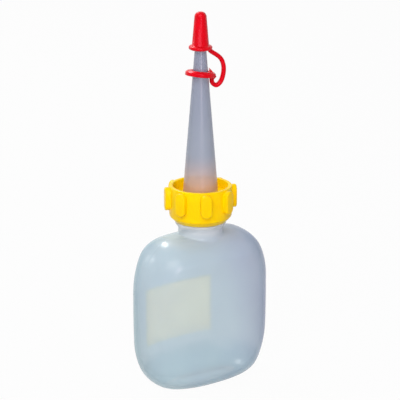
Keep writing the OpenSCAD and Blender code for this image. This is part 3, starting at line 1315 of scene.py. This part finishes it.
@dataclass
class UnionNut:
    """Nut with a tapered foot, round-ended ribs, a deep rim and a clamping ledge."""

    foot_z: float = 96.4
    foot_r: float = 15.1
    wall_z: float = 99.2
    wall_r: float = 17.7
    top_z: float = 116.9
    rim_r: float = 15.6
    ledge_top: float = 111.9
    ledge_z: float = 109.9
    hole_r: float = 10.58
    bore_r: float = 13.2
    thread_z: float = 97.8
    thread_turns: float = 1.0
    ridge_h: float = 1.1
    rib_r: float = 20.5
    rib_w: float = 6.4
    rib_h: float = 13.4
    rib_drop: float = 0.6
    rib_count: int = 8
    rib_turn: float = 19.0
    rib_foot: float = 16.1
    rib_round: float = 0.75
    rounds: tuple[float, float, float, float] = (0.7, 2.0, 0.5, 0.35)
    hole_edge: float = 0.25
    steps: int = 96

    def _core(self) -> bpy.types.Object:
        """Turned part of the nut.

        Returns:
            The nut without its ribs and thread.
        """
        bm = bmesh.new()
        foot, wall, rim, lip = self.rounds
        profile = [
            (self.bore_r, self.foot_z),
            *arc(self.foot_r - foot, self.foot_z + foot, foot, -90, -40, 4),
            *arc(self.wall_r - wall, self.wall_z + wall / 2, wall, -38, 0, 5),
            *arc(self.wall_r - rim, self.top_z - rim, rim, 0, 90, 4),
            *arc(self.rim_r + lip, self.top_z - lip, lip, 90, 180, 3),
            (self.rim_r, self.ledge_top),
            (self.hole_r + self.hole_edge, self.ledge_top),
            (self.hole_r, self.ledge_top - self.hole_edge),
            (self.hole_r, self.ledge_z),
            (self.bore_r, self.ledge_z),
        ]
        turn_profile(bm, profile, self.steps)
        return finish_mesh(bm, "union_nut_shell", crease=35)

    def _ribs(self) -> bpy.types.Object:
        """The ribs, each a round-ended block with soft outer edges.

        Returns:
            All ribs as one piece.
        """
        bm = bmesh.new()
        end = self.rib_w / 2
        top = self.top_z - self.rib_drop
        high, low = top - end, top - self.rib_h + end
        outline = arc(0, high, end, 0, 180, 10) + arc(0, low, end, 180, 360, 10)
        points = [(self.rib_foot, y, z) for y, z in outline]
        crest = extrude_outline(bm, points, (self.rib_r - self.rib_foot, 0, 0))[0]
        round_edges(bm, list(crest.edges), self.rib_round, segments=4)
        first = Matrix.Rotation(math.radians(self.rib_turn), 3, "Z")
        bmesh.ops.rotate(bm, cent=(0, 0, 0), matrix=first, verts=bm.verts)
        others = self.rib_count - 1
        bmesh.ops.spin(
            bm,
            geom=bm.verts[:] + bm.edges[:] + bm.faces[:],
            cent=(0, 0, 0),
            axis=(0, 0, 1),
            dvec=(0, 0, 0),
            angle=math.tau * others / self.rib_count,
            steps=others,
            use_merge=False,
            use_duplicate=True,
        )
        return finish_mesh(bm, "nut_ribs", crease=35)

    def build(self) -> bpy.types.Object:
        """Makes the nut's mesh.

        Returns:
            The nut.
        """
        nut = self._core()
        join_solids(nut, self._ribs())
        bm = bmesh.new()
        ThreadForm(
            root=self.bore_r,
            crest=self.bore_r - self.ridge_h,
            start_z=self.thread_z,
            turns=self.thread_turns,
        ).build(bm)
        join_solids(nut, finish_mesh(bm, "nut_thread", crease=35))
        crease_mesh(nut, crease=30)
        return nut


@dataclass
class TipCap:
    """Tapered cap with a dome and a rounded flange."""

    nozzle: Nozzle
    base_z: float = 194.6
    height: float = 21.0
    radius: float = 4.7
    top_r: float = 3.4
    dome_h: float = 3.0
    dome_flat: float = 0.6
    flange_r: float = 6.6
    flange_t: float = 2.2
    gap: float = 0.1
    room: float = 4.0
    end_r: float = 1.0
    mouth_edge: float = 0.3
    neck_round: tuple[float, float] = (0.35, 0.3)
    neck_step: float = 0.02
    dome_steps: int = 10
    steps: int = 72

    def build(self) -> bpy.types.Object:
        """Makes the cap's mesh.

        Returns:
            The cap.
        """
        bm = bmesh.new()
        nozzle = self.nozzle
        top = self.base_z + self.height
        edge = self.flange_t / 2
        dome_z = top - self.dome_h
        reach = self.top_r - self.dome_flat
        turns = [math.radians(90 * k / self.dome_steps) for k in range(self.dome_steps + 1)]
        dome = [
            (self.dome_flat + reach * math.cos(a), dome_z + self.dome_h * math.sin(a)) for a in turns
        ]
        neck = self.base_z + self.flange_t
        across, up = self.neck_round
        mouth = nozzle.cone_at(self.base_z) + self.gap
        profile = [
            (0.0, nozzle.tip_z + self.room),
            (self.end_r, nozzle.tip_z + self.room),
            (nozzle.tip_r + self.gap, nozzle.tip_z),
            (mouth, self.base_z + self.mouth_edge),
            (mouth + self.mouth_edge, self.base_z),
            *arc(self.flange_r - edge, self.base_z + edge, edge, -90, 80, 9),
            (self.radius + across, neck + self.neck_step),
            (self.radius + self.neck_step, neck + up),
            *dome,
            (0.0, top),
        ]
        turn_profile(bm, profile, self.steps, closed=False)
        return finish_mesh(bm, "tip_cap_shell", crease=45)


@dataclass
class StrapForm:
    """Route of the strap in its own plane, as (distance from the axis, height above the ring)."""

    ring_z: float = 181.0
    turn: float = -23.0
    width: float = 3.0
    thickness: float = 2.5
    exponent: float = 3.0
    sides: int = 20
    rings: int = 84
    probe: float = 0.01
    route: tuple[tuple[float, float], ...] = (
        (4.59, 14.59),
        (5.21, 12.99),
        (6.62, 11.76),
        (8.65, 10.47),
        (10.61, 8.91),
        (12.12, 6.87),
        (12.97, 3.94),
        (13.1, 1.02),
        (12.51, -2.31),
        (11.2, -5.36),
        (9.04, -7.0),
        (7.2, -6.16),
        (6.37, -4.5),
        (6.37, -1.5),
    )

    def at(self, t: float) -> Vector:
        """Place on the smooth curve through the route's points.

        Args:
            t: Place along the route, where 1 is the second point.

        Returns:
            The place in the strap's plane.
        """
        last = len(self.route) - 1
        i = min(int(t), last - 1)
        u = t - i
        a, b, c, d = (Vector(self.route[min(max(k, 0), last)]) for k in range(i - 1, i + 3))
        return 0.5 * (
            2 * b
            + (c - a) * u
            + (2 * a - 5 * b + 4 * c - d) * u * u
            + (3 * b - a - 3 * c + d) * u * u * u
        )

    def section(self, t: float) -> list[Point]:
        """Ring of points around the strap at a place along its route.

        Args:
            t: Place along the route, where 1 is the second point.

        Returns:
            The points in order.
        """
        last = len(self.route) - 1
        way = self.at(min(t + self.probe, last)) - self.at(max(t - self.probe, 0))
        way.normalize()
        middle = self.at(t)
        ring = []
        for k in range(self.sides):
            a = math.tau * (k + 0.5) / self.sides
            out = self.thickness / 2 * signed_power(math.cos(a), 2 / self.exponent)
            across = self.width / 2 * signed_power(math.sin(a), 2 / self.exponent)
            ring.append((middle.x + way.y * out, across, middle.y - way.x * out))
        return ring


@dataclass
class Tether:
    """Retainer ring with its lug, and the strap that ties the cap to it."""

    nozzle: Nozzle
    strap: StrapForm = field(default_factory=StrapForm)
    ring_r: float = 8.5
    ring_h: float = 3.0
    ring_gap: float = 0.6
    ring_tilt: float = 9.0
    tilt_turn: float = 40.0
    ring_edge: float = 0.4
    ring_lip: float = 0.3
    hole_edge: float = 0.2
    ring_bevel: float = 1.2
    ring_drop: float = 0.1
    lug_h: float = 6.0
    lug_w: float = 6.0
    lug_heel: float = 1.3
    lug_sink: float = 0.3
    lug_round: float = 0.35
    strap_start: float = 0.35
    steps: int = 72
    stretch_from: float = 176.5
    stretch_to: float = 193.4

    def _place(self, bm: BMesh) -> None:
        """Turns a mesh into the tether's plane and lifts it to the ring's height.

        Args:
            bm: Mesh to place.
        """
        turn = Matrix.Rotation(math.radians(self.strap.turn), 3, "Z")
        bmesh.ops.rotate(bm, cent=(0, 0, 0), matrix=turn, verts=bm.verts)
        bmesh.ops.translate(bm, vec=(0, 0, self.strap.ring_z), verts=bm.verts)

    def build_ring(self) -> bpy.types.Object:
        """Makes the mesh of the ring and its lug.

        Returns:
            The ring.
        """
        hole = self.nozzle.cone_at(self.strap.ring_z - self.ring_h / 2) + self.ring_gap
        half = self.ring_h / 2
        edge, lip, inner = self.ring_edge, self.ring_lip, self.hole_edge
        bm = bmesh.new()
        profile = [
            (hole + inner, -half),
            *arc(self.ring_r - edge, -half + edge, edge, -90, 0, 3),
            *arc(self.ring_r - lip, half - self.ring_bevel, lip, 0, 40, 2),
            (self.ring_r - self.ring_bevel, half - self.ring_drop),
            (self.ring_r - self.ring_bevel - lip, half),
            (hole + inner, half),
            (hole, half - inner),
            (hole, -half + inner),
        ]
        turn_profile(bm, profile, self.steps)
        tilt = Matrix.Rotation(math.radians(self.tilt_turn), 3, "Z") @ Matrix.Rotation(
            math.radians(self.ring_tilt), 3, "Y"
        )
        bmesh.ops.rotate(bm, cent=(0, 0, 0), matrix=tilt, verts=bm.verts)
        self._place(bm)
        ring = finish_mesh(bm, "retainer_ring", crease=35)
        bm = bmesh.new()
        corners = [
            (hole + self.lug_sink, self.lug_h / 2 - self.lug_round),
            (self.ring_r, -self.lug_h / 4),
            (self.ring_r - self.lug_heel, -self.lug_h / 2),
            (hole + self.lug_sink, -self.lug_h / 4),
        ]
        points = [(x, -self.lug_w / 2, z) for x, z in corners]
        extrude_outline(bm, points, (0, self.lug_w, 0))
        round_edges(bm, bm.edges[:], self.lug_round, segments=3)
        self._place(bm)
        join_solids(ring, finish_mesh(bm, "tether_lug", crease=35))
        crease_mesh(ring, crease=32)
        return ring

    def build_strap(self) -> bpy.types.Object:
        """Makes the strap's mesh, from inside the cap's flange to inside the lug.

        Returns:
            The strap.
        """
        bm = bmesh.new()
        strap = self.strap
        start, last = self.strap_start, len(strap.route) - 1
        sweep = Sweep(bm, strap.section(start))
        for k in range(1, strap.rings + 1):
            sweep.grow(strap.section(start + (last - start) * k / strap.rings))
        sweep.close()
        self._place(bm)
        return finish_mesh(bm, "tether_strap_band", crease=50)


# Studio


def seen_share(tree: bpy.types.NodeTree) -> Socket:
    """Share of rays that see the surroundings: from the camera, a gloss or through glass.

    Args:
        tree: Node tree of the floor's material or of the world.

    Returns:
        The share, which is 0 or 1 for each ray.
    """
    path = tree.nodes.new("ShaderNodeLightPath").outputs
    seen = path["Is Camera Ray"]
    for kind in ("Is Glossy Ray", "Is Transmission Ray"):
        either = tree.nodes.new("ShaderNodeMath")
        either.operation = "MAXIMUM"
        tree.links.new(seen, either.inputs[0])
        tree.links.new(path[kind], either.inputs[1])
        seen = either.outputs[0]
    return seen


@dataclass(frozen=True)
class Lamp:
    """Area lamp that points at the bottle, in metres and watts."""

    name: str
    place: tuple[float, float, float]
    size: tuple[float, float]
    power: float
    colour: tuple[float, float, float]
    aim: tuple[float, float, float] = (0.0, 0.0, 0.1)

    def hang(self) -> None:
        """Adds the lamp to the scene."""
        data = bpy.data.lights.new(self.name, "AREA")
        data.shape = "RECTANGLE"
        data.size, data.size_y = self.size
        data.energy, data.color = self.power, self.colour
        lamp = add_object(self.name, data)
        lamp.location = self.place
        way = Vector(self.aim) - lamp.location
        lamp.rotation_euler = way.to_track_quat("-Z", "Y").to_euler()


@dataclass
class Studio:
    """Camera at the photograph's angle, soft lamps, white surroundings and a pale floor."""

    distance: float = 0.9255
    height: float = 0.3998
    azimuth: float = -35.8
    aim_z: float = 0.1078
    aim_px: float = 0.5
    focal_px: float = 1718.8
    floor_side: float = 6.0
    floor_colour: tuple[float, float, float] = (0.6, 0.6, 0.61)
    floor_white: float = 0.95
    light_colour: tuple[float, float, float] = (0.94, 0.97, 1.0)
    light_level: float = 0.26
    lamps: tuple[Lamp, ...] = (
        Lamp("key_lamp", (-1.05, -0.95, 1.25), (1.3, 1.3), 26.0, (1.0, 0.99, 0.97)),
        Lamp("strip_lamp", (-0.68, -1.6, 0.36), (0.12, 0.7), 7.0, (1.0, 0.84, 0.93)),
        Lamp("window_lamp", (-0.9, 1.4, 0.8), (0.2, 0.2), 2.5, (1.0, 1.0, 1.0)),
        Lamp("back_lamp", (0.0, 1.2, 1.35), (0.4, 0.4), 14.0, (1.0, 1.0, 0.98)),
    )

    def camera(self) -> None:
        """Puts the camera where the photograph was taken from."""
        data = bpy.data.cameras.new("photo_camera")
        data.sensor_width = SENSOR_MM
        data.lens = self.focal_px / FRAME_PX * SENSOR_MM
        data.clip_start, data.clip_end = 0.01, 50
        data.shift_x = -self.aim_px / FRAME_PX
        camera = add_object("photo_camera", data)
        a = math.radians(self.azimuth)
        camera.location = (
            math.sin(a) * self.distance,
            -math.cos(a) * self.distance,
            self.height,
        )
        aim = Vector((0, 0, self.aim_z)) - camera.location
        camera.rotation_euler = aim.to_track_quat("-Z", "Y").to_euler()
        bpy.context.scene.camera = camera

    def floor(self) -> None:
        """Lays the floor."""
        bm = bmesh.new()
        bmesh.ops.create_grid(bm, x_segments=1, y_segments=1, size=self.floor_side / 2)
        mesh = bpy.data.meshes.new("studio_floor")
        bm.to_mesh(mesh)
        bm.free()
        n = Nodes("studio_floor")
        lit = n.add("ShaderNodeBsdfDiffuse", Color=(*self.floor_colour, 1))
        white = n.add("ShaderNodeEmission", Color=(1, 1, 1, 1), Strength=1.0)
        share = n.math("MULTIPLY", seen_share(n.tree), self.floor_white)
        mesh.materials.append(n.show(n.blended(share, lit, white)))
        add_object("studio_floor", mesh)

    def world(self) -> None:
        """Sets white surroundings that light the object at a lower level."""
        world = bpy.data.worlds.new("studio_world")
        bpy.context.scene.world = world
        world.use_nodes = True
        tree = world.node_tree
        tree.nodes.clear()
        mix = tree.nodes.new("ShaderNodeMixShader")
        tree.links.new(seen_share(tree), mix.inputs[0])
        skies = ((self.light_colour, self.light_level), ((1.0, 1.0, 1.0), 1.0))
        for socket, (colour, level) in zip(mix.inputs[1:], skies):
            sky = tree.nodes.new("ShaderNodeBackground")
            sky.inputs["Color"].default_value = (*colour, 1)
            sky.inputs["Strength"].default_value = level
            tree.links.new(sky.outputs[0], socket)
        output = tree.nodes.new("ShaderNodeOutputWorld")
        tree.links.new(mix.outputs[0], output.inputs["Surface"])

    def build(self) -> None:
        """Builds the whole studio."""
        bpy.context.scene.view_settings.view_transform = "Standard"
        self.camera()
        self.floor()
        self.world()
        for lamp in self.lamps:
            lamp.hang()


# Main


def main() -> None:
    """Builds the pieces and the studio in order."""
    finishes = make_finishes()
    bottle = Bottle()
    nozzle = Nozzle()
    tether = Tether(nozzle)
    dress(bottle.build(), Body.BOTTLE, Slot.NATURAL, finishes, "bottle")
    dress(Label(bottle.form).build(), Body.BOTTLE, Slot.LABEL, finishes, "label")
    dress(nozzle.build(), Body.SPOUT, Slot.NOZZLE, finishes, "nozzle")
    dress(UnionNut().build(), Body.NUT, Slot.YELLOW, finishes, "union_nut")
    dress(TipCap(nozzle).build(), Body.CAP, Slot.RED, finishes, "tip_cap")
    dress(tether.build_ring(), Body.TETHER, Slot.RED, finishes, "tether_ring")
    strap = tether.build_strap()
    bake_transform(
        strap,
        Body.TETHER.value,
        Body.CAP.value,
        start=(0, 0, tether.stretch_from * MM),
        end=(0, 0, tether.stretch_to * MM),
    )
    dress(strap, Body.TETHER, Slot.RED, finishes, "tether_strap")
    Studio().build()


if __name__ == "__main__":
    logging.basicConfig(level=logging.INFO, format="%(name)s: %(message)s")
    main()
